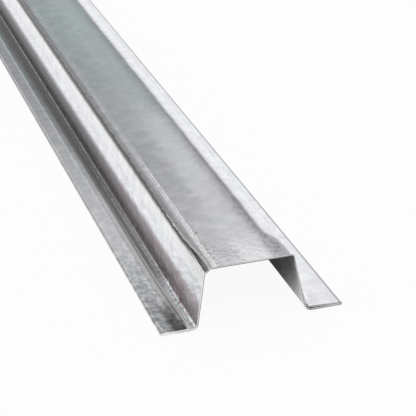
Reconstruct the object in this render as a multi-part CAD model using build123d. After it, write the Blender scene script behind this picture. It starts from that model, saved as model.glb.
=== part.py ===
from build123d import *
import os

# Drywall furring channel: one strip of thin galvanised steel, roll-formed to a hat section.
# Millimetres, +Z up. The channel lies on its two flanges along Y.
# The origin is on the seating plane, below the middle of the crown, half way along the length.

# Stock
length = 3048.0            # one stock length, ten feet
sheet = 0.478              # steel thickness, with its zinc

# Section, as it is quoted: over the outside of the sheet
crown_width = 31.75        # the flat that takes the board, 1 1/4 in
depth = 22.225             # from the seating plane to the top of the crown, 7/8 in
flange_width = 12.7        # from the web's foot to the flange's outer edge, 1/2 in
web_lean = 3.97            # how far each web's foot stands out from the crown's edge

# Bends
bend_radius = 2.14         # inside radius of the four long bends
hem_return = 9.5           # how far the edge is folded back over the flange
hem_gap = 0.2              # space left between the flange and the folded edge

# What follows from these
crown_edge = crown_width / 2
web_foot = crown_edge + web_lean
flange_edge = web_foot + flange_width
hem_height = 2 * sheet + hem_gap
hem_radius = hem_height / 2
hem_centre = flange_edge - hem_radius
raw_edge = flange_edge - hem_return


def inset_corner(outer_corner, neighbour):
    """Where the sheet's two under faces meet, at the corner whose outer faces meet at outer_corner.

    The crown's under face lies one sheet thickness down, and the web's inner face lies one sheet
    thickness in, square to the web, so the corner slides in along the crown by the difference.
    """
    run = Vector(*neighbour) - Vector(*outer_corner)
    web_slope = abs(run.X / run.Y)
    inward = sheet * ((1 + web_slope**2) ** 0.5 - web_slope)
    return (outer_corner[0] - inward, outer_corner[1] - sheet)


def half_section():
    """The right half of the sheet's section: its under face, thickened upwards and outwards.

    The under face runs from the middle of the crown to the web, down to the flange and round
    the hem. At the crown it is the inside of the bend, and at the flange it is the outside.
    """
    crown_corner = inset_corner((crown_edge, depth), (web_foot, 0))
    lean_per_height = web_lean / depth
    flange_corner = (crown_corner[0] + lean_per_height * crown_corner[1], 0)
    with BuildLine() as under_face:
        FilletPolyline(
            (0, depth - sheet),
            crown_corner,
            flange_corner,
            (hem_centre, 0),
            radius=[bend_radius, bend_radius + sheet],
        )
        CenterArc((hem_centre, hem_radius), hem_radius, -90, 180)
        Line((hem_centre, hem_height), (raw_edge, hem_height))
    with BuildSketch() as section:
        with BuildLine():
            add(under_face.line)
            offset(amount=sheet, side=Side.LEFT)
        make_face()
    return section.sketch


def channel_solid():
    """The whole section, both halves as one face, carried along the length."""
    right = half_section()
    section = right + mirror(right, about=Plane.YZ)
    upright = Plane.XZ * section
    return extrude(upright, amount=length / 2, both=True)


channel = channel_solid()
channel.label = "channel"

os.makedirs("parts", exist_ok=True)
export_step(channel, "parts/channel.step")
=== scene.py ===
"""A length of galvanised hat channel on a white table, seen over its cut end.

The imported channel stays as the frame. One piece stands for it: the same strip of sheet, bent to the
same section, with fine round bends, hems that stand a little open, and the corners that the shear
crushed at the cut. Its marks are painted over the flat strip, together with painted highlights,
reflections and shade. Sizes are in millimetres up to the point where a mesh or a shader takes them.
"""
import math
from functools import cached_property

import bpy
import numpy as np
from mathutils import Matrix, Vector


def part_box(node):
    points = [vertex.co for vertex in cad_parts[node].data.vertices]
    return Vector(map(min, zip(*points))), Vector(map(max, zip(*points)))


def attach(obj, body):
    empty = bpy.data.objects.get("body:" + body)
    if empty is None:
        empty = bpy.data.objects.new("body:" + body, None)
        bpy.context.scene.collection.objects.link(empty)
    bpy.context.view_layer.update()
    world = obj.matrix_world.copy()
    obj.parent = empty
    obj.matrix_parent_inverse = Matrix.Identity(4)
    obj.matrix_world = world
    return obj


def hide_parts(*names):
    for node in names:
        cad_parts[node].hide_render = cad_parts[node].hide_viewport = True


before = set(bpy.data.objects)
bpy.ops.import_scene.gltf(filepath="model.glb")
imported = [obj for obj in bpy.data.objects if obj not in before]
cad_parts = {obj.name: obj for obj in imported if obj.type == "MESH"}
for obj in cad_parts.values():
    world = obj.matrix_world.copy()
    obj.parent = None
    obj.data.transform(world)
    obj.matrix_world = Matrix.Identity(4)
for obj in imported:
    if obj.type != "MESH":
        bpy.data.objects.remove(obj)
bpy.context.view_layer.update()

MM = 0.001

# Sizes read off the frame
low, high = (np.array(corner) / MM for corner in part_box("channel"))
CUT_END = low[1]
LENGTH = high[1] - low[1]
DEPTH = high[2]
FLANGE_EDGE = high[0]

# Section, as the channel is rolled
SHEET = 0.478
CROWN_WIDTH = 31.75
FLANGE_WIDTH = 12.7
BEND_RADIUS = 2.14
HEM_RETURN = 9.5
HEM_GAP = 0.2


# Shape of the strip


def ease(value, start, end):
    """A smooth rise from 0 at start to 1 at end: 3t^2 - 2t^3 of the clipped share t of the way."""
    t = np.clip((value - start) / (end - start), 0, 1)
    return t * t * (3 - 2 * t)


def fade(value, start, end):
    """A smooth fall from 1 at start to 0 at end."""
    return 1 - ease(value, start, end)


def hump(value, middle, reach):
    """A smooth bump: 1 at middle, 0 from reach away on either side."""
    return fade(np.abs(value - middle), 0, reach)


class Strip:
    """Half of the flat strip, from the crown's middle outwards, and what each stretch becomes.

    stretches holds, in order, each run's length, its turn in radians (+ turns down) and its
    number of columns. The columns grow finer past shoulder, and burr is the width of the raw edge
    that turns down. The places where one stretch ends and the next begins are named.
    """

    lean = FLANGE_EDGE - FLANGE_WIDTH - CROWN_WIDTH / 2
    lean_angle = math.atan2(lean, DEPTH)
    turn = math.pi / 2 - lean_angle
    bend_middle = BEND_RADIUS + SHEET / 2
    tangent = bend_middle * math.tan(turn / 2)
    crown_corner = CROWN_WIDTH / 2 - SHEET / 2 * math.tan(turn / 2)
    flange_corner = crown_corner + (DEPTH - SHEET) * lean / DEPTH
    fold_middle = (HEM_GAP + SHEET) / 2
    fold_x = FLANGE_EDGE - fold_middle - SHEET / 2
    shoulder = 8.6
    burr = 0.7
    stretches = [
        (shoulder, 0.0, 10),
        (crown_corner - tangent - shoulder, 0.0, 14),
        (bend_middle * turn, turn, 12),
        ((DEPTH - SHEET) / math.cos(lean_angle) - 2 * tangent, 0.0, 12),
        (bend_middle * turn, -turn, 8),
        (fold_x - flange_corner - tangent, 0.0, 3),
        (fold_middle * math.pi, -math.pi, 8),
        (HEM_RETURN - fold_middle - SHEET / 2 - burr, 0.0, 7),
        (burr, 0.0, 3),
    ]
    ends = np.cumsum([length for length, _, _ in stretches])
    _, crown_end, web_start, web_end, flange_start, fold_start, fold_end, _, raw_edge = ends


def half_strip():
    """The right half of the strip's middle line, from the crown's middle to the hem's raw edge.

    The heading starts level and falls by each bend's turn. A straight run moves along the heading.
    A bend is divided evenly, and each of its steps is the exact chord of its share of the arc.
    Returns distance along the strip, x and z, all in millimetres.
    """
    steps = np.concatenate([np.full(n, length / n) for length, _, n in Strip.stretches])
    turns = np.concatenate([np.full(n, turned / n) for _, turned, n in Strip.stretches])
    heading = -(np.cumsum(turns) - turns / 2)
    chords = steps * np.sinc(turns / (2 * np.pi))
    x = np.concatenate([[0.0], np.cumsum(chords * np.cos(heading))])
    z = DEPTH - SHEET / 2 + np.concatenate([[0.0], np.cumsum(chords * np.sin(heading))])
    return np.concatenate([[0.0], np.cumsum(steps)]), x, z


def strip_middle():
    """The whole strip's middle line, from the left raw edge to the right one.

    The right half and its mirror image, which share the point at the crown's middle.
    """
    s, x, z = half_strip()
    across = np.concatenate([-s[:0:-1], s])
    return across, np.concatenate([-x[:0:-1], x]), np.concatenate([z[:0:-1], z])


def rows_along():
    """Places of the cross rows, in millimetres from the cut end.

    Fine rows where the cut is seen close, then wider ones, and coarse rows along the rest.
    """
    close, middle = 60, 420
    close_rows, middle_rows, far_rows = 80, 150, 70
    return np.concatenate([
        np.linspace(0, close, close_rows, endpoint=False),
        np.linspace(close, middle, middle_rows, endpoint=False),
        np.linspace(middle, LENGTH, far_rows),
    ])


def waves(s, y, seed, count, shortest, longest):
    """Slow unevenness of rolled sheet: a sum of count plane sine waves of random heading.

    Each wave's length lies between shortest and longest, and the sum has a size of about 1.
    """
    draw = np.random.default_rng(seed)
    total = np.zeros_like(s)
    for _ in range(count):
        heading = draw.uniform(0, np.pi)
        wave = draw.uniform(shortest, longest)
        phase = draw.uniform(0, 2 * np.pi)
        total += np.sin(2 * np.pi * (s * np.cos(heading) + y * np.sin(heading)) / wave + phase)
    return total / math.sqrt(count)


def rolled_shoulders(s, y):
    """How far the crown's shoulders fall below its flat, in millimetres.

    The slope grows from nothing at the shoulder line to its full value over the ease-in width,
    and ends a little way into the bend. The fall is that slope summed over the distance. At the
    cut the shear has pressed both shoulders nearly flat again, the right one for longer.
    """
    shoulder_line = 10.0
    ease_in = 4.7
    slope = math.tan(math.radians(6))
    past = np.clip(np.abs(s) - shoulder_line, 0, Strip.crown_end + 1 - shoulder_line)
    fall = slope * np.where(past < ease_in, past**2 / (2 * ease_in), past - ease_in / 2)
    fully_rolled = 12 + 10 * ease(s, -5, 5)
    flattened = 0.8 * fade(y, 3, fully_rolled)
    return fall * (1 - flattened)


def corner_push(s, y):
    """Outward push of the crown's corners at the cut, in millimetres, halfway between up and out.

    The shear squeezed the right bend tighter, and pressed the left one to a sloping flat. Both
    pushes are smooth bumps over the bend, and die out along the channel.
    """
    middle = (Strip.crown_end + Strip.web_start) / 2
    tightened = 0.5 * hump(s, middle, 1.9) * fade(y, 3, 22)
    pressed = 0.45 * hump(s, -middle, 1.8) * fade(y, 3, 26)
    return tightened - pressed


def hem_spread(s, y):
    """How far the shear squeezed the hems' raw edges towards the webs, in millimetres.

    It is nothing at the fold and grows evenly towards the raw edge. Along the channel it falls
    quickly on the left. On the right it reaches further from the cut.
    """
    share = np.clip((np.abs(s) - Strip.fold_end) / (Strip.raw_edge - Strip.fold_end), 0, 1)
    left_spread = 0.5 * fade(y, 0, 8) + 0.9 * fade(y, 8, 40)
    right_spread = 2.7 * fade(y, 6, 60)
    return share * np.where(s < 0, left_spread, right_spread)


def hem_lift(s, y):
    """Lift of the hems' upper sheet, in millimetres.

    Both hems are tight at the fold and spring open from it. The left one rises over its outer half
    and then runs level. The right one rises all the way to its raw edge, and is nipped at the fold.
    A burr on the raw edges turns down to the flange. Right at the cut the shear has closed both
    hems, and squeezed up their raw edges.
    """
    left = s < 0
    out = np.abs(s)
    rising_width = 5.0
    nip = 0.15
    closing = 0.9 * HEM_GAP
    burr_drop = 0.8 * HEM_GAP
    left_slope = math.tan(math.radians(3.6))
    right_slope = math.tan(math.radians(3.2))
    from_fold = np.clip(out - Strip.fold_end, 0, None)
    at_fold = ease(out, Strip.fold_start, Strip.fold_end)
    left_rise = left_slope * np.minimum(from_fold, rising_width)
    right_rise = right_slope * from_fold - nip * at_fold
    closed = np.where(left, fade(y, 0, 4), 0.4 * fade(y, 0, 16))
    lift = np.where(left, left_rise, right_rise) * (1 - closed) - closing * at_fold * closed
    raised = 0.12 * hem_spread(s, y)
    burr = ease(out, Strip.raw_edge - Strip.burr, Strip.raw_edge)
    turned_down = burr * np.where(left, ease(y, -2, 6), ease(y, 2, 14))
    return (lift + raised) * (1 - turned_down) - burr_drop * turned_down


def sheet_surface():
    """Middle surface of the sheet as four arrays, rows along the channel by columns across it.

    The rolled section is carried straight along the channel and then moved by what happened to
    it: rolled shoulders, slow waves, the slope of the hems, and the shear's squeeze at the cut.
    """
    unevenness = 0.007
    across, x, z = strip_middle()
    s, y = np.meshgrid(across, rows_along())
    x = np.broadcast_to(x, s.shape).copy()
    z = np.broadcast_to(z, s.shape).copy()
    on_crown = fade(np.abs(s), Strip.crown_end, Strip.web_start)
    z -= rolled_shoulders(s, y) * fade(np.abs(s), Strip.web_start, Strip.web_end)
    z += unevenness * on_crown * waves(s, y, seed=11, count=14, shortest=9, longest=40)
    z += hem_lift(s, y)
    push = corner_push(s, y) * math.sqrt(0.5)
    x += np.sign(s) * (push - hem_spread(s, y))
    z += push
    return s, y, x, z


def thicken(x, y, z):
    """Both faces of the sheet: the middle surface moved half a thickness each way along its normal.

    The normal is the cross product of the surface's two slopes, taken by finite differences.
    """
    points = np.stack([x, y, z], axis=-1)
    along = np.gradient(points, axis=0)
    across = np.gradient(points, axis=1)
    normal = np.cross(across, along)
    normal /= np.linalg.norm(normal, axis=-1, keepdims=True)
    return points + normal * SHEET / 2, points - normal * SHEET / 2


def grid_faces(index, flip=False):
    """Quads of a grid of vertex numbers, wound one way or the other."""
    a, b = index[:-1, :-1], index[:-1, 1:]
    c, d = index[1:, 1:], index[1:, :-1]
    order = (a, d, c, b) if flip else (a, b, c, d)
    return np.stack([corner.ravel() for corner in order], axis=1)


def skin_faces(rows, columns):
    """Quads of the closed skin: the sheet's two faces, then its two sheared ends and two raw edges.

    The upper face's points are numbered row by row, and the under face's follow in the same order.
    Returns the quads and, for each, whether it lies on a face of the sheet.
    """
    top = np.arange(rows * columns).reshape(rows, columns)
    bottom = top + rows * columns
    faces = [grid_faces(top), grid_faces(bottom, flip=True)]
    rims = [
        np.stack([top[0], bottom[0]]),
        np.stack([bottom[-1], top[-1]]),
        np.stack([bottom[:, 0], top[:, 0]]),
        np.stack([top[:, -1], bottom[:, -1]]),
    ]
    quads = np.concatenate(faces + [grid_faces(rim, flip=True) for rim in rims])
    return quads, np.arange(len(quads)) < sum(len(face) for face in faces)


def sheet_mesh(name):
    """The closed skin of the bent sheet as a mesh.

    Its UV map, sheet, is the place on the flat strip. Its attributes are rim, 1 on the sheared ends
    and raw edges, and depth, which runs through the sheet from 0 on its upper face to 1 below.
    """
    s, y, x, z = sheet_surface()
    upper, under = thicken(x, y + CUT_END, z)
    points = np.concatenate([upper.reshape(-1, 3), under.reshape(-1, 3)]) * MM
    quads, on_face = skin_faces(*s.shape)

    mesh = bpy.data.meshes.new(name)
    mesh.vertices.add(len(points))
    mesh.vertices.foreach_set("co", points.ravel())
    mesh.loops.add(quads.size)
    mesh.loops.foreach_set("vertex_index", quads.ravel().astype(np.int32))
    mesh.polygons.add(len(quads))
    mesh.polygons.foreach_set("loop_start", np.arange(0, quads.size, 4, dtype=np.int32))
    mesh.update(calc_edges=True)
    mesh.polygons.foreach_set("use_smooth", on_face)

    flat_places = np.stack([np.tile(s.ravel(), 2), np.tile(y.ravel(), 2)], axis=1) * MM
    uv = mesh.uv_layers.new(name="sheet")
    uv.data.foreach_set("uv", flat_places[quads.ravel()].ravel())
    rim = mesh.attributes.new("rim", "FLOAT", "CORNER")
    rim.data.foreach_set("value", np.repeat((~on_face).astype(np.float32), 4))
    depth = mesh.attributes.new("depth", "FLOAT", "POINT")
    depth.data.foreach_set("value", np.repeat([0.0, 1.0], s.size))
    mesh.validate()
    return mesh


# Shader writing


class Value:
    """A shader socket that takes part in Python arithmetic: each operator adds one Math node."""

    def __init__(self, graph, socket):
        self.graph = graph
        self.socket = socket

    def __add__(self, other):
        return self.graph.math("ADD", self, other)

    def __radd__(self, other):
        return self.graph.math("ADD", other, self)

    def __sub__(self, other):
        return self.graph.math("SUBTRACT", self, other)

    def __rsub__(self, other):
        return self.graph.math("SUBTRACT", other, self)

    def __mul__(self, other):
        return self.graph.math("MULTIPLY", self, other)

    def __rmul__(self, other):
        return self.graph.math("MULTIPLY", other, self)

    def __truediv__(self, other):
        return self.graph.math("DIVIDE", self, other)

    def __rtruediv__(self, other):
        return self.graph.math("DIVIDE", other, self)


class Graph:
    """The node tree of a material or of the world, written from top to bottom."""

    def __init__(self, owner):
        owner.use_nodes = True
        self.tree = owner.node_tree
        self.tree.nodes.clear()

    def node(self, kind, settings=None, inputs=None, output=0):
        """Adds a node: first its settings, then the values or links of its sockets.

        Returns the output named by its number or name, or a list of them for a tuple.
        """
        made = self.tree.nodes.new(kind)
        for name, value in (settings or {}).items():
            if name == "stops":
                self.set_stops(made.color_ramp, value)
            else:
                setattr(made, name, value)
        for name, value in (inputs or {}).items():
            if isinstance(value, Value):
                self.tree.links.new(value.socket, made.inputs[name])
            else:
                made.inputs[name].default_value = value
        if not made.outputs:
            return None
        if isinstance(output, tuple):
            return [Value(self, made.outputs[one]) for one in output]
        return Value(self, made.outputs[output])

    def set_stops(self, ramp, stops):
        """Fills a colour ramp with (place, colour) stops."""
        while len(ramp.elements) < len(stops):
            ramp.elements.new(1.0)
        for element, (place, colour) in zip(ramp.elements, stops):
            element.position = place
            element.color = colour

    def math(self, operation, *numbers):
        """A Math node over one or two numbers."""
        return self.node("ShaderNodeMath", {"operation": operation}, dict(enumerate(numbers)))

    def ramp(self, value, low, high, start=0.0, end=1.0):
        """A smooth step of value from low to high, as a number from start to end."""
        settings = {"interpolation_type": "SMOOTHSTEP"}
        inputs = {0: value, 1: low, 2: high, 3: start, 4: end}
        return self.node("ShaderNodeMapRange", settings, inputs)

    def fade(self, value, low, high, rest=0.0):
        """A smooth fall from 1 where value is low to rest where it is high."""
        return self.ramp(value, low, high, 1.0, rest)

    def band(self, value, low, high, soft):
        """1 where value lies between low and high, falling to 0 over soft on either side."""
        return self.ramp(value, low - soft, low) * self.fade(value, high, high + soft)

    def blend(self, share, first, second):
        """Two numbers mixed by share."""
        return first + (second - first) * share

    def curve(self, value, low, high, stops):
        """A number read from a list of (place, number) stops, with places between low and high."""
        share = (value - low) / (high - low)
        top = max(number for _, number in stops)
        colours = [((place - low) / (high - low), grey(number / top)) for place, number in stops]
        return self.node("ShaderNodeValToRGB", {"stops": colours}, {"Fac": share}) * top

    def mix(self, share, first, second):
        """Two colours mixed by share. Sockets 6 and 7 and output 2 are the Mix node's colour ones."""
        settings = {"data_type": "RGBA", "clamp_factor": True}
        return self.node("ShaderNodeMix", settings, {0: share, 6: first, 7: second}, output=2)

    def cover(self, colour, layers):
        """A colour under a list of (share, colour) layers, laid on from the first to the last."""
        for share, layer in layers:
            colour = self.mix(share, colour, layer)
        return colour

    def turned(self, across, along, degrees, scale_across, scale_along):
        """A place turned by degrees and scaled each way, so that noise over it runs in streaks."""
        cosine, sine = math.cos(math.radians(degrees)), math.sin(math.radians(degrees))
        inputs = {
            "X": (across * cosine - along * sine) * scale_across,
            "Y": (across * sine + along * cosine) * scale_along,
        }
        return self.node("ShaderNodeCombineXYZ", None, inputs)

    def noise(self, place, scale, detail=2.0, roughness=0.5, stretch=(1, 1, 1), curl=0.0):
        """Fractal noise over place, in features per metre, drawn out by stretch and curled."""
        drawn = self.node("ShaderNodeMapping", None, {"Vector": place, "Scale": stretch})
        inputs = {
            "Vector": drawn, "Scale": scale, "Detail": detail, "Roughness": roughness,
            "Distortion": curl,
        }
        return self.node("ShaderNodeTexNoise", None, inputs)


def rgb(red, green, blue):
    """An opaque shader colour."""
    return (red, green, blue, 1)


def grey(level):
    """A plain grey of that level, as a shader colour."""
    return rgb(level, level, level)


def wobble(noise, reach):
    """A shift that follows a noise, by up to half of reach either way."""
    return reach * (noise - 0.5)


# Colours of the zinc, of the marks on it, of the light and shade painted on it, and of its edges

WHITE = grey(1.0)
DARK_CLOUD = rgb(0.74, 0.75, 0.77)
LIGHT_CLOUD = rgb(0.92, 0.92, 0.925)
GREENISH_ZINC = rgb(0.79, 0.85, 0.84)
VIOLET_ZINC = rgb(0.83, 0.80, 0.86)
SCUFFED_ZINC = rgb(0.58, 0.58, 0.59)
DARK_CURL = rgb(0.45, 0.46, 0.47)
BLOTCH = rgb(0.64, 0.65, 0.66)
WEB_STREAK = rgb(0.55, 0.47, 0.50)
FOOT_ZINC = rgb(0.55, 0.62, 0.65)
# A painted highlight along the crown, strongest near the ends
CROWN_HIGHLIGHT = rgb(0.97, 0.97, 0.98)
DULL_CROWN = rgb(0.50, 0.50, 0.51)
RUBBED_ZINC = rgb(0.36, 0.36, 0.38)
HEM_STAIN = rgb(0.34, 0.35, 0.36)
BARE_HEM = rgb(0.98, 1.0, 1.0)
GRIME = grey(0.30)
# Painted shade on the left hem near the cut, and its darkest core
HEM_SHADE = grey(0.10)
HEM_SHADE_CORE = grey(0.02)
SHADE = rgb(0.32, 0.33, 0.34)
PIT = grey(0.12)
# Painted shade in the bend at the foot of each web
FOOT_SHADE = grey(0.22)
# Painted shade along the round of each fold
FOLD_SHADE = rgb(0.35, 0.36, 0.37)
# Painted shade in the crease at the top of the left web
CREASE_SHADE = grey(0.03)
RAW_EDGE = rgb(1.0, 0.98, 0.87)
LIGHT_STROKE = rgb(0.60, 0.56, 0.57)
DARK_STROKE = rgb(0.15, 0.095, 0.105)

# The web's stain and painted dark reflection, close to the cut and far from it
BROWN_STAIN_AND_REFLECTION = rgb(0.30, 0.205, 0.24), rgb(0.13, 0.115, 0.12)
GREY_STAIN_AND_REFLECTION = rgb(0.38, 0.355, 0.37), rgb(0.155, 0.145, 0.15)

# Where marks lie across the flat strip, in millimetres from the crown's middle, negative on the left.
# A BAND is where a mark is full. A START runs from nothing to full, and an END from full to nothing.
# The crease bends inwards at the cut, and the rubbed strip is wider there.
CREASE_LINE = -15.8
CREASE_BEND = 1.1
SHADE_BAND = (-15.6, -13.5)
RIDGE_BAND = (-12.8, -11.7)
DULL_BAND = (-12.0, -6.0)
PIT_BAND = (-11.2, -10.4)
# The painted highlight along the crown
CROWN_HIGHLIGHT_BAND = (0.5, 8.0)
RUB_START = (6.0, 10.6)
RUB_EDGE = 11.2
RUB_WIDENING = 3.2

# The same on either side of the crown's middle
STAIN_AND_REFLECTION_START = (26.2, 29.8)
STAIN_AND_REFLECTION_END = (35.9, 37.1)

# The same across a hem, from its folded edge
HEM_WIDTH = 9.4
# The next three places hold the painted shade on the hem and its darkest core
HEM_SHADE_START = (2.6, 5.0)
HEM_SHADE_END = (7.9, 8.8)
HEM_SHADE_CORE_START = (4.5, 6.5)
GRIME_START = (4.8, 7.6)
GRIME_END = (8.9, 9.2)
# Where the painted highlight lies across the hem
HEM_HIGHLIGHT_BAND = (7.4, 8.6)


# Materials


class Steel:
    """The zinc-coated sheet and its marks, as shader values over the flat strip.

    Places are in millimetres: s across the strip from the crown's middle, out the same without its
    sign, y along it from the cut, from_end from the nearer end, and from_fold across a hem from its
    folded edge. A mark is a share from 0 to 1. Marks that several sockets need are properties, and
    their nodes are added when they are first used.
    """

    def __init__(self, graph):
        self.g = g = graph
        flat = g.node("ShaderNodeUVMap", {"uv_map": "sheet"})
        across, along = g.node("ShaderNodeSeparateXYZ", None, {"Vector": flat}, output=(0, 1))
        self.flat, self.across, self.along = flat, across, along
        self.s = across / MM
        self.y = along / MM
        self.out = g.math("ABSOLUTE", self.s)
        self.from_end = g.math("MINIMUM", self.y, LENGTH - self.y)
        self.from_fold = self.out - (Strip.raw_edge - HEM_WIDTH)

        self.left = g.fade(self.s, -1.0, 1.0)
        self.web = g.band(self.out, Strip.web_start, Strip.web_end, 1.0)
        self.right_flange = g.ramp(self.s, Strip.web_end, Strip.flange_start)
        self.on_hem = g.ramp(self.out, Strip.fold_start - 1, Strip.fold_start)
        self.at_cut = self.near_end(6, 34)
        self.rim = g.node("ShaderNodeAttribute", {"attribute_name": "rim"}, output="Fac")
        self.depth = g.node("ShaderNodeAttribute", {"attribute_name": "depth"}, output="Fac")

        self.cloud = g.noise(flat, 150, 3.0, 0.55)
        self.grain = g.noise(flat, 900, 2.5, 0.6, stretch=(1, 0.5, 1))
        self.scuff = g.noise(flat, 430, 3.0, 0.6, stretch=(1, 0.6, 1), curl=0.6)
        self.curls = g.noise(flat, 800, 2.0, 0.6, stretch=(0.7, 1, 1), curl=1.5)
        self.blotch = g.noise(flat, 400, 2.0, 0.5, stretch=(1, 0.7, 1))
        self.bead = g.noise(flat, 330, 1.0, 0.5, stretch=(0.15, 1, 1))
        self.streak = g.noise(g.turned(across, along, 18, 1.0, 0.12), 480, 2.5, 0.6)
        self.stroke = g.noise(g.turned(across, along, 28, 1.0, 0.14), 1150, 2.0, 0.6)

    def near_end(self, start, end, rest=0.0):
        """1 up to start from either end of the channel, falling to rest by end."""
        return self.g.fade(self.from_end, start, end, rest)

    def near_cut(self, start, end, rest=0.0):
        """1 up to start from the cut alone, falling to rest by end."""
        return self.g.fade(self.y, start, end, rest)

    @cached_property
    def ridge(self):
        """The ridge along the left shoulder, painted light as its highlight: beaded, broken by curls
        and weaker far away.
        """
        band = self.g.band(self.s + wobble(self.bead, 1.2), *RIDGE_BAND, soft=0.5)
        return band * self.g.ramp(self.curls, 0.36, 0.5, 0.5, 1.0) * self.near_end(45, 140, 0.35)

    @cached_property
    def rough_ridge(self):
        """The stretch of the ridge near an end, where it is rough."""
        return self.ridge * self.near_end(25, 60)

    @cached_property
    def pits(self):
        """The row of slanting dark pits inside the ridge, near an end."""
        g = self.g
        stitch = g.noise(g.turned(self.across, self.along, 25, 0.35, 1.0), 1100, 1.0, 0.6)
        row = g.band(self.s + wobble(self.bead, 2.0), *PIT_BAND, soft=0.5)
        return row * g.ramp(stitch, 0.56, 0.68) * self.near_end(35, 90)

    @cached_property
    def past_crease(self):
        """Distance inwards from the crease, whose line follows the beads a little."""
        return self.s - CREASE_LINE - CREASE_BEND * self.near_cut(6, 34) + wobble(self.bead, 0.6)

    @cached_property
    def crease(self):
        """Painted shade in the crease at the top of the left web, soft on its outer side and sharp
        within.
        """
        g = self.g
        inner_edge = self.past_crease - g.ramp(self.y, 45, 90, 0.0, 0.55)
        line = g.ramp(self.past_crease, -2.0, 0.1) * g.fade(inner_edge, 0.15, 0.4)
        return self.left * line * g.ramp(self.y, 3, 10, 0.86, 1.0) * self.near_cut(20, 90, 0.9)

    @cached_property
    def foot_place(self):
        """Distance out from the crown's middle, with a ragged shift."""
        return self.out + wobble(self.curls, 1.8) + wobble(self.blotch, 2.6)

    @cached_property
    def foot(self):
        """The curled zinc round the foot of each web."""
        return self.g.band(self.foot_place, Strip.web_end + 1.5, Strip.flange_start + 5, 0.3)

    @cached_property
    def web_stain_and_reflection(self):
        """The stain low on the webs, with a painted dark reflection. Near the ends its upper edge is
        jagged and a little lower.

        Far away the stain reaches further down.
        """
        g = self.g
        jagged = self.near_end(40, 150, 0.2) * (wobble(self.streak, 4.0) + wobble(self.stroke, 5.5))
        upper_place = self.out + jagged - self.near_end(6, 40)
        lower_place = self.foot_place - g.ramp(self.from_end, 50, 160, 0.0, 1.6)
        return g.ramp(upper_place, *STAIN_AND_REFLECTION_START) * g.fade(lower_place, *STAIN_AND_REFLECTION_END)

    @cached_property
    def foot_shade_line(self):
        """The line of painted shade along the foot of each web, away from the ends."""
        line = self.g.band(self.out, Strip.flange_start - 0.1, Strip.flange_start + 1.0, 0.3)
        return line * self.g.ramp(self.from_end, 25, 60, 0.0, 0.6)

    @cached_property
    def hem_stain(self):
        """The blotched stain over the left hem, strongest near the cut."""
        share = self.g.ramp(self.y, 15, 90, 0.6, 0.15) * self.g.fade(self.scuff, 0.38, 0.55)
        return self.left * self.on_hem * share

    @cached_property
    def hem_shade(self):
        """Painted shade along the inner half of the left hem near the cut."""
        g = self.g
        inner_place = self.from_fold + g.ramp(self.y, 1, 8, 0.2, 0.9)
        strip = g.ramp(self.from_fold, *HEM_SHADE_START) * g.fade(inner_place, *HEM_SHADE_END, rest=0.1)
        strip = self.left * self.on_hem * strip * self.near_cut(8, 26)
        return strip * g.fade(self.scuff, 0.3, 0.6, rest=0.8)

    @cached_property
    def raw(self):
        """The bare burr along each raw edge, fainter far away and on the right."""
        edge = self.g.ramp(self.out, Strip.raw_edge - 0.85, Strip.raw_edge - 0.65)
        return edge * self.near_end(35, 120, 0.3) * (1.0 - 0.7 * self.right_flange)

    @cached_property
    def chalky(self):
        """How dull and unmetallic the surface is, on the raw edges and on the rough ridge."""
        return 0.8 * self.raw + 0.55 * self.rough_ridge * self.g.ramp(self.from_end, 5, 11)

    def zinc(self):
        """Clouded zinc in shifting tones, scuffed and curled near the ends, and the webs' stain
        with its painted dark reflection.
        """
        g = self.g
        tone = g.noise(self.flat, 45, 2.0, 0.5)
        other_tone = g.noise(self.flat, 32, 2.0, 0.5, stretch=(1, -1, 1))
        scuffed = g.fade(self.scuff, 0.38, 0.62, rest=0.2) * self.at_cut
        curled = self.at_cut * (1.0 - self.right_flange) * (1.0 - 0.85 * self.web)
        blotched = g.ramp(self.blotch, 0.42, 0.58, 0.0, 0.22) * (1.0 - self.web)
        foot_zinc = g.mix(g.ramp(self.curls, 0.45, 0.55), FOOT_ZINC, WHITE)
        return g.cover(g.mix(g.ramp(self.cloud, 0.33, 0.67), DARK_CLOUD, LIGHT_CLOUD), [
            (g.ramp(tone, 0.45, 0.62, 0.0, 0.4), GREENISH_ZINC),
            (g.ramp(other_tone, 0.45, 0.62, 0.0, 0.4), VIOLET_ZINC),
            (scuffed * (0.8 - 0.62 * self.right_flange), SCUFFED_ZINC),
            (g.ramp(self.curls, 0.50, 0.58) * curled * 0.8, WHITE),
            (g.fade(self.curls, 0.40, 0.46) * curled * 0.65, DARK_CURL),
            (blotched, BLOTCH),
            (g.ramp(self.streak, 0.42, 0.62) * self.web * 0.03, WEB_STREAK),
            (self.foot * 0.9, foot_zinc),
            # The stain low on the webs, with a painted dark reflection
            (self.web_stain_and_reflection * (0.35 + 0.57 * self.left), self.stain_and_reflection_colour()),
        ])

    def stain_and_reflection_colour(self):
        """Colour of the stain and its painted dark reflection: brown with grey streaks, darker far
        away, and light and dark strokes nearer to an end.
        """
        g = self.g
        far = g.ramp(self.from_end, 15, 200)
        stroked = g.ramp(self.from_end, 30, 130, 0.55, 0.0)
        streaked = g.ramp(self.streak, 0.43, 0.62)
        return g.cover(g.mix(streaked, g.mix(far, *BROWN_STAIN_AND_REFLECTION), g.mix(far, *GREY_STAIN_AND_REFLECTION)), [
            (g.ramp(self.stroke, 0.51, 0.60) * stroked, LIGHT_STROKE),
            (g.fade(self.stroke, 0.41, 0.50) * stroked, DARK_STROKE),
            (g.ramp(self.from_end, 2, 20, 0.4, 0.0), grey(0.9)),
        ])

    def crown_layers(self):
        """Along the crown: a painted highlight strip, a dull one, the ridge with its painted
        highlight, and the rubbed right shoulder.
        """
        g = self.g
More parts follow.
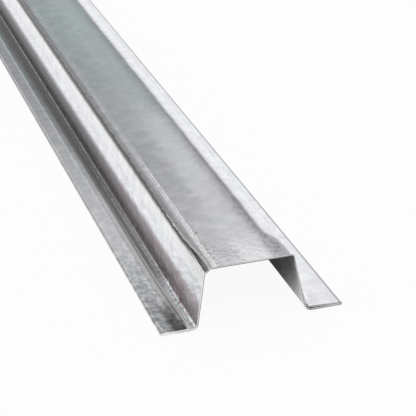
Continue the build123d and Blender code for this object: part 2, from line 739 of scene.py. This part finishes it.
        # A painted highlight along the crown, strongest close to an end
        crown_highlight = g.band(self.s, *CROWN_HIGHLIGHT_BAND, soft=3.0) * g.ramp(self.from_end, 8, 24, 0.7, 0.3)
        dull = g.band(self.s, *DULL_BAND, soft=5.0) * g.ramp(self.from_end, 60, 170, 0.25, 0.05)
        past_rub = self.s - (RUB_EDGE + RUB_WIDENING * self.near_end(12, 26))
        rub = g.ramp(self.s + wobble(self.blotch, 2.4), *RUB_START) * g.fade(past_rub, -0.4, 0.6)
        rub = rub * g.fade(self.scuff, 0.3, 0.65, rest=0.55) * g.ramp(self.from_end, 15, 150, 0.9, 0.4)
        # The white over the ridge is its painted highlight
        return [
            (crown_highlight, CROWN_HIGHLIGHT), (dull, DULL_CROWN), (self.ridge * 0.95, WHITE), (rub, RUBBED_ZINC),
        ]

    def hem_layers(self):
        """On the left hem: stain, bare spots, far grime, a painted highlight strip, and painted shade
        at the cut.
        """
        g = self.g
        bare_spots = g.ramp(self.y, 30, 110, 0.7, 0.1) * g.ramp(self.scuff, 0.5, 0.62)
        grime = g.ramp(self.from_fold, *GRIME_START) * g.fade(self.from_fold, *GRIME_END)
        grime = grime * g.ramp(self.from_end, 100, 240, 0.0, 0.4)
        # A painted highlight along the left hem, between 30 and 110 mm from an end
        bright = g.band(self.from_fold, *HEM_HIGHLIGHT_BAND, soft=0.9) * g.band(self.from_end, 30, 110, 25)
        # The darkest core of the painted shade, right at the cut
        shade_core = self.hem_shade * g.ramp(self.from_fold, *HEM_SHADE_CORE_START) * g.ramp(self.y, 0.5, 6, 0.7, 0.0)
        left_hem = self.left * self.on_hem
        return [
            (self.hem_stain, HEM_STAIN), (left_hem * bare_spots, BARE_HEM), (self.left * grime, GRIME),
            (left_hem * bright * 0.8, WHITE), (self.hem_shade, HEM_SHADE), (shade_core, HEM_SHADE_CORE),
        ]

    def shoulder_layers(self):
        """Round the left bend: the shade by the crease, the glint within it, and the pits."""
        g = self.g
        glint = g.band(self.past_crease, 0.5, 0.95, 0.25) * self.near_cut(25, 60)
        shade = self.left * g.band(self.s, *SHADE_BAND, soft=0.9)
        shade = shade * g.fade(self.blotch, 0.3, 0.6, rest=0.6) * 0.6 * (1.0 - glint)
        return [(shade, SHADE), (self.left * glint * 0.8, WHITE), (self.pits * 0.7, PIT)]

    def foot_layer(self):
        """Painted shade at the feet of the webs, which on the left spreads over the flange far away.
        """
        g = self.g
        spread = self.left * g.band(self.out, Strip.web_end + 0.8, Strip.flange_start + 5, 0.8)
        growing = g.ramp(self.from_end, 28, 50, 0.0, 0.57) + g.ramp(self.from_end, 80, 250, 0.0, 0.35)
        past_bend = g.ramp(self.out, Strip.flange_start - 0.8, Strip.flange_start + 0.2)
        thinned = 1.0 - past_bend * g.ramp(self.from_end, 90, 220, 0.6, 0.1)
        # Painted shade in the bend at the foot of each web, spreading far away
        return self.foot_shade_line + spread * growing * thinned, FOOT_SHADE

    def inner_layer(self):
        """Painted light and shade on the trough's inside: pale at the cut and low down, dark behind
        it, lighter far in.
        """
        g = self.g
        # Painted light and shade inside the trough
        inside = g.ramp(self.depth, 0.6, 0.9) * (1.0 - self.rim) * (1.0 - self.on_hem)
        lit = g.ramp(self.out - 0.6 * self.from_end, 14, 28, 0.13, 0.55)
        lit = lit + g.ramp(self.from_end, 40, 90, 0.0, 0.2)
        lit = lit + g.ramp(self.from_end, 2, 8, 0.5, 0.0) * g.fade(self.out, 22, 34, rest=0.1)
        return inside * 0.9, g.mix(lit, grey(0.0), WHITE)

    def edge_layers(self):
        """Painted shade along each fold and in the crease, and the bare yellowish raw edges."""
        # Painted shade along the round of each fold, weaker on the left
        fold_shade = self.g.band(self.out, Strip.fold_start + 0.2, Strip.fold_end + 0.3, 0.3)
        return [
            (fold_shade * (0.85 - 0.55 * self.left), FOLD_SHADE), (self.crease, CREASE_SHADE),
            (self.raw, RAW_EDGE),
        ]

    def rim_layer(self):
        """The sheared rim: cut bright over the upper half of the sheet and broken dark below it.

        The cut half is duller on the crown and on the right flange, and the broken half is bright
        on the left flange. Over the shear's own zones, the cut half also holds a painted highlight,
        and the broken half painted shade, except on the left flange, where it holds a painted
        highlight.
        """
        g = self.g
        on_crown = g.fade(self.out, 13.5, 16)
        left_flange = self.left * g.ramp(self.out, Strip.web_end, Strip.flange_start)
        # The cut half carries a painted highlight and the broken half painted shade, bright on the
        # left flange
        cut = g.mix(self.right_flange, g.mix(on_crown, grey(0.95), grey(0.6)), grey(0.55))
        broken = g.mix(left_flange, grey(0.25), grey(0.9))
        off_raw_edge = g.fade(self.out, Strip.raw_edge - 0.2, Strip.raw_edge - 0.1)
        return self.rim * off_raw_edge, g.mix(g.ramp(self.depth, 0.35, 0.65), cut, broken)

    def colour(self):
        """The zinc under all its marks and its painted light and shade."""
        layers = self.crown_layers() + self.hem_layers() + self.shoulder_layers()
        layers += [self.foot_layer(), self.inner_layer()] + self.edge_layers() + [self.rim_layer()]
        return self.g.cover(self.zinc(), layers)

    def roughness(self):
        """Bright zinc, rougher in the clouds and on each mark."""
        return (
            0.05 + 0.04 * self.cloud + 0.2 * self.hem_shade + 0.06 * self.hem_stain + 0.45 * self.raw
            + 0.35 * self.rim + 0.1 * self.rough_ridge + 0.12 * self.foot_shade_line + 0.15 * self.crease
            + 0.24 * self.foot + 0.2 * self.web_stain_and_reflection
        )

    def relief(self):
        """Height of the surface in millimetres: unevenness, rolling lines and the marks.

        The unevenness is full near the ends of the crown, and less on the webs and the hems.
        """
        rolling_lines = self.g.noise(self.flat, 1600, 2.0, 0.5, stretch=(1, 0.03, 1))
        uneven = 1.0 - 0.9 * self.web - 0.75 * self.on_hem
        dents = 0.016 * self.cloud + 0.006 * self.blotch + 0.016 * self.scuff * self.at_cut
        return (
            self.near_end(10, 90, 0.05) * uneven * dents + 0.001 * rolling_lines
            + self.streak * (0.0015 * self.web + 0.008 * self.web_stain_and_reflection)
            + self.grain * (0.0005 + 0.004 * self.at_cut) * uneven
            + 0.008 * self.curls * self.at_cut * uneven + 0.02 * self.foot * self.curls
            + 0.12 * self.ridge * self.bead - 0.05 * self.pits - 0.05 * self.crease
        )


def galvanised_steel():
    """Zinc-coated sheet with the marks of rolling, of handling and of the shear, and with painted
    light and shade.
    """
    material = bpy.data.materials.new("galvanised_steel")
    g = Graph(material)
    steel = Steel(g)
    bump = g.node("ShaderNodeBump", None, {"Strength": 1.0, "Distance": MM, "Height": steel.relief()})
    shader = g.node("ShaderNodeBsdfPrincipled", None, {
        "Base Color": steel.colour(), "Metallic": 1.0 - steel.chalky,
        "Roughness": steel.roughness(), "Normal": bump,
    })
    g.node("ShaderNodeOutputMaterial", None, {"Surface": shader})
    return material


def table_top():
    """White table: a matt white with the channel's soft shadow.

    The camera sees it lifted to white with the shadow faint. The steel mirrors it lifted too, but
    only where the table lies open to the sky, so that the trough stays dark inside.
    """
    seen_lift, mirrored_lift = 0.94, 0.9
    material = bpy.data.materials.new("table_top")
    g = Graph(material)
    open_sky = g.node("ShaderNodeAmbientOcclusion", {"samples": 16}, {"Distance": 0.05}, output="AO")
    camera, glossy = g.node("ShaderNodeLightPath", output=("Is Camera Ray", "Is Glossy Ray"))
    lift = seen_lift * camera + mirrored_lift * glossy * g.ramp(open_sky, 0.06, 0.20)
    matt = g.node("ShaderNodeBsdfDiffuse", None, {"Color": grey(0.95)})
    lifted = g.node("ShaderNodeEmission", None, {"Color": WHITE, "Strength": 1.0})
    both = g.node("ShaderNodeMixShader", None, {0: lift, 1: matt, 2: lifted})
    g.node("ShaderNodeOutputMaterial", None, {"Surface": both})
    return material


# Surroundings


def studio_walls(g, around, height):
    """Brightness of the long bands that run along the channel, below the ceiling.

    From the left: a dim edge, a bright wall, a dark slot, a grey wall that grows into a soft light,
    a second grey wall and a white card. The grey wall and the slot are dimmer low down. The second
    grey wall has two faint patches and brightens upwards. The strips that the left hem mirrors, in
    its rising outer half and its level inner one, have their own brightness by height.
    """
    walls = g.curve(around, -90, 90, [
        (-90, 0.4), (-83, 0.4), (-76, 1.1), (-52, 1.15), (-49.5, 0.7), (-48.2, 0.36), (-47, 0.22),
        (-44, 0.20), (-30, 0.44), (-14, 0.45), (-4, 0.42), (4, 0.55), (9, 0.7), (16, 0.8),
        (20.5, 0.75), (24, 0.9), (27.5, 0.38), (29, 0.39), (31.5, 0.47), (33, 0.42), (36, 0.36),
        (39, 1.0), (90, 1.0),
    ])
    rising_half = g.curve(height, 15, 35, [
        (15, 0.33), (20.3, 0.37), (22.1, 0.47), (24.0, 0.57), (25.6, 0.67), (27.0, 0.57),
        (27.9, 0.47), (28.5, 0.39), (31, 0.35), (35, 0.4),
    ])
    level_half = g.curve(height, 15, 35, [
        (15, 0.22), (19.4, 0.26), (21, 0.36), (23, 0.48), (24.5, 0.49), (26, 0.45), (27.5, 0.38),
        (35, 0.4),
    ])
    low_grey = g.band(around, -12, 0, 10) * g.ramp(height, 17, 26, 0.6, 0.0)
    low_slot = g.band(around, -48, -42, 1.0) * g.ramp(height, 14, 18.5, 0.6, 0.0)
    walls = walls * (1.0 - low_grey) * (1.0 - low_slot)
    walls = walls + 0.16 * g.band(around, 31.3, 33, 1.0) * g.band(height, 20.8, 22.6, 1.0)
    walls = walls + 0.05 * g.band(around, 28.5, 31.3, 1.0) * g.band(height, 20.3, 22.8, 1.0)
    walls = g.blend(g.band(around, 13.5, 19, 3), walls, rising_half)
    walls = g.blend(g.band(around, 22.5, 25, 1.5), walls, level_half)
    high_wall = g.ramp(height, 21.4, 29.4) * g.ramp(around, 25.5, 28) * g.fade(around, 36, 39)
    return g.blend(high_wall, walls, 1.25)


def studio_world():
    """A soft studio built of long bands that run along the channel, under a white ceiling.

    A band's place is its angle round the channel's length, in degrees from straight up, positive to
    the right. Behind the camera the ceiling is twice as bright, and one dim wall takes the place of
    the bands. The light is slightly green low on the right and pink in the dark slot, but only in
    directions that lie well ahead of the camera. The camera itself sees plain white.
    """
    neutral, greenish, pink = rgb(0.993, 0.995, 1.01), rgb(0.91, 1.04, 1.035), rgb(1.2, 0.88, 0.97)
    ceiling_light, ceiling_drop, back_wall = 1.5, 0.75, 0.35
    world = bpy.data.worlds.new("studio")
    bpy.context.scene.world = world
    g = Graph(world)
    direction = g.node("ShaderNodeTexCoord", output="Generated")
    x, y, z = g.node("ShaderNodeSeparateXYZ", None, {"Vector": direction}, output=(0, 1, 2))
    height = g.math("ARCSINE", z) * (180 / math.pi)
    around = g.math("ARCTAN2", x, z) * (180 / math.pi)

    ceiling = g.ramp(height, 33, 55)
    forward = g.ramp(y, -0.8, -0.1)
    behind = g.fade(y, -0.3, 0.0)
    level = g.blend(ceiling, studio_walls(g, around, height), ceiling_light - ceiling_drop * forward)
    level = g.blend(behind * (1.0 - ceiling), level, back_wall)

    ahead = g.ramp(y, 0.65, 0.80)
    low_right = g.fade(height, 16, 23) * g.band(around, 20, 33, 4) * ahead
    slot = g.ramp(height, 13, 17) * g.band(around, -49, -43, 1.5) * ahead
    tint = g.cover(neutral, [(low_right, greenish), (slot, pink)])
    lit = g.node("ShaderNodeBackground", None, {"Color": tint, "Strength": level})
    white = g.node("ShaderNodeBackground", None, {"Color": WHITE, "Strength": 1.0})
    camera = g.node("ShaderNodeLightPath", output="Is Camera Ray")
    both = g.node("ShaderNodeMixShader", None, {0: camera, 1: lit, 2: white})
    g.node("ShaderNodeOutputWorld", None, {"Surface": both})


def table(half_side=8.0):
    """A flat square under the channel, half_side metres each way from its middle."""
    mesh = bpy.data.meshes.new("table")
    corners = [(-1, -1), (1, -1), (1, 1), (-1, 1)]
    mesh.from_pydata([(x * half_side, y * half_side, 0) for x, y in corners], [], [(0, 1, 2, 3)])
    mesh.materials.append(table_top())
    piece = bpy.data.objects.new("table", mesh)
    bpy.context.scene.collection.objects.link(piece)


def camera():
    """The camera: a long lens, low over the cut end and to its left, slightly rolled.

    Its angles are in degrees. The lens is given by the focal length in pixels of the square picture.
    """
    focal_pixels = 1674.7
    picture_pixels = 416
    azimuth, elevation, roll = np.radians([-15.06, 23.51, -2.96])
    from_cut = Vector((-144.6, -487.0, 263.5)) * MM
    back = Vector((
        math.sin(azimuth) * math.cos(elevation),
        -math.cos(azimuth) * math.cos(elevation),
        math.sin(elevation),
    ))
    level_right = Vector((0, 0, 1)).cross(back).normalized()
    turn = Matrix.Rotation(roll, 3, back)
    right = turn @ level_right
    up = back.cross(right)
    data = bpy.data.cameras.new("camera")
    data.sensor_width = 36.0
    data.lens = data.sensor_width * focal_pixels / picture_pixels
    data.clip_start = 0.01
    made = bpy.data.objects.new("camera", data)
    rotation = Matrix((right, up, back)).transposed().to_4x4()
    made.matrix_world = Matrix.Translation(Vector((0, CUT_END * MM, 0)) + from_cut) @ rotation
    bpy.context.scene.collection.objects.link(made)
    bpy.context.scene.camera = made


def channel_skin():
    """The channel as it shows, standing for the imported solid."""
    mesh = sheet_mesh("channel_skin")
    mesh.materials.append(galvanised_steel())
    piece = bpy.data.objects.new("channel_skin", mesh)
    bpy.context.scene.collection.objects.link(piece)
    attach(piece, "root")
    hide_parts("channel")


channel_skin()
table()
studio_world()
camera()
bpy.context.scene.view_settings.view_transform = "Standard"
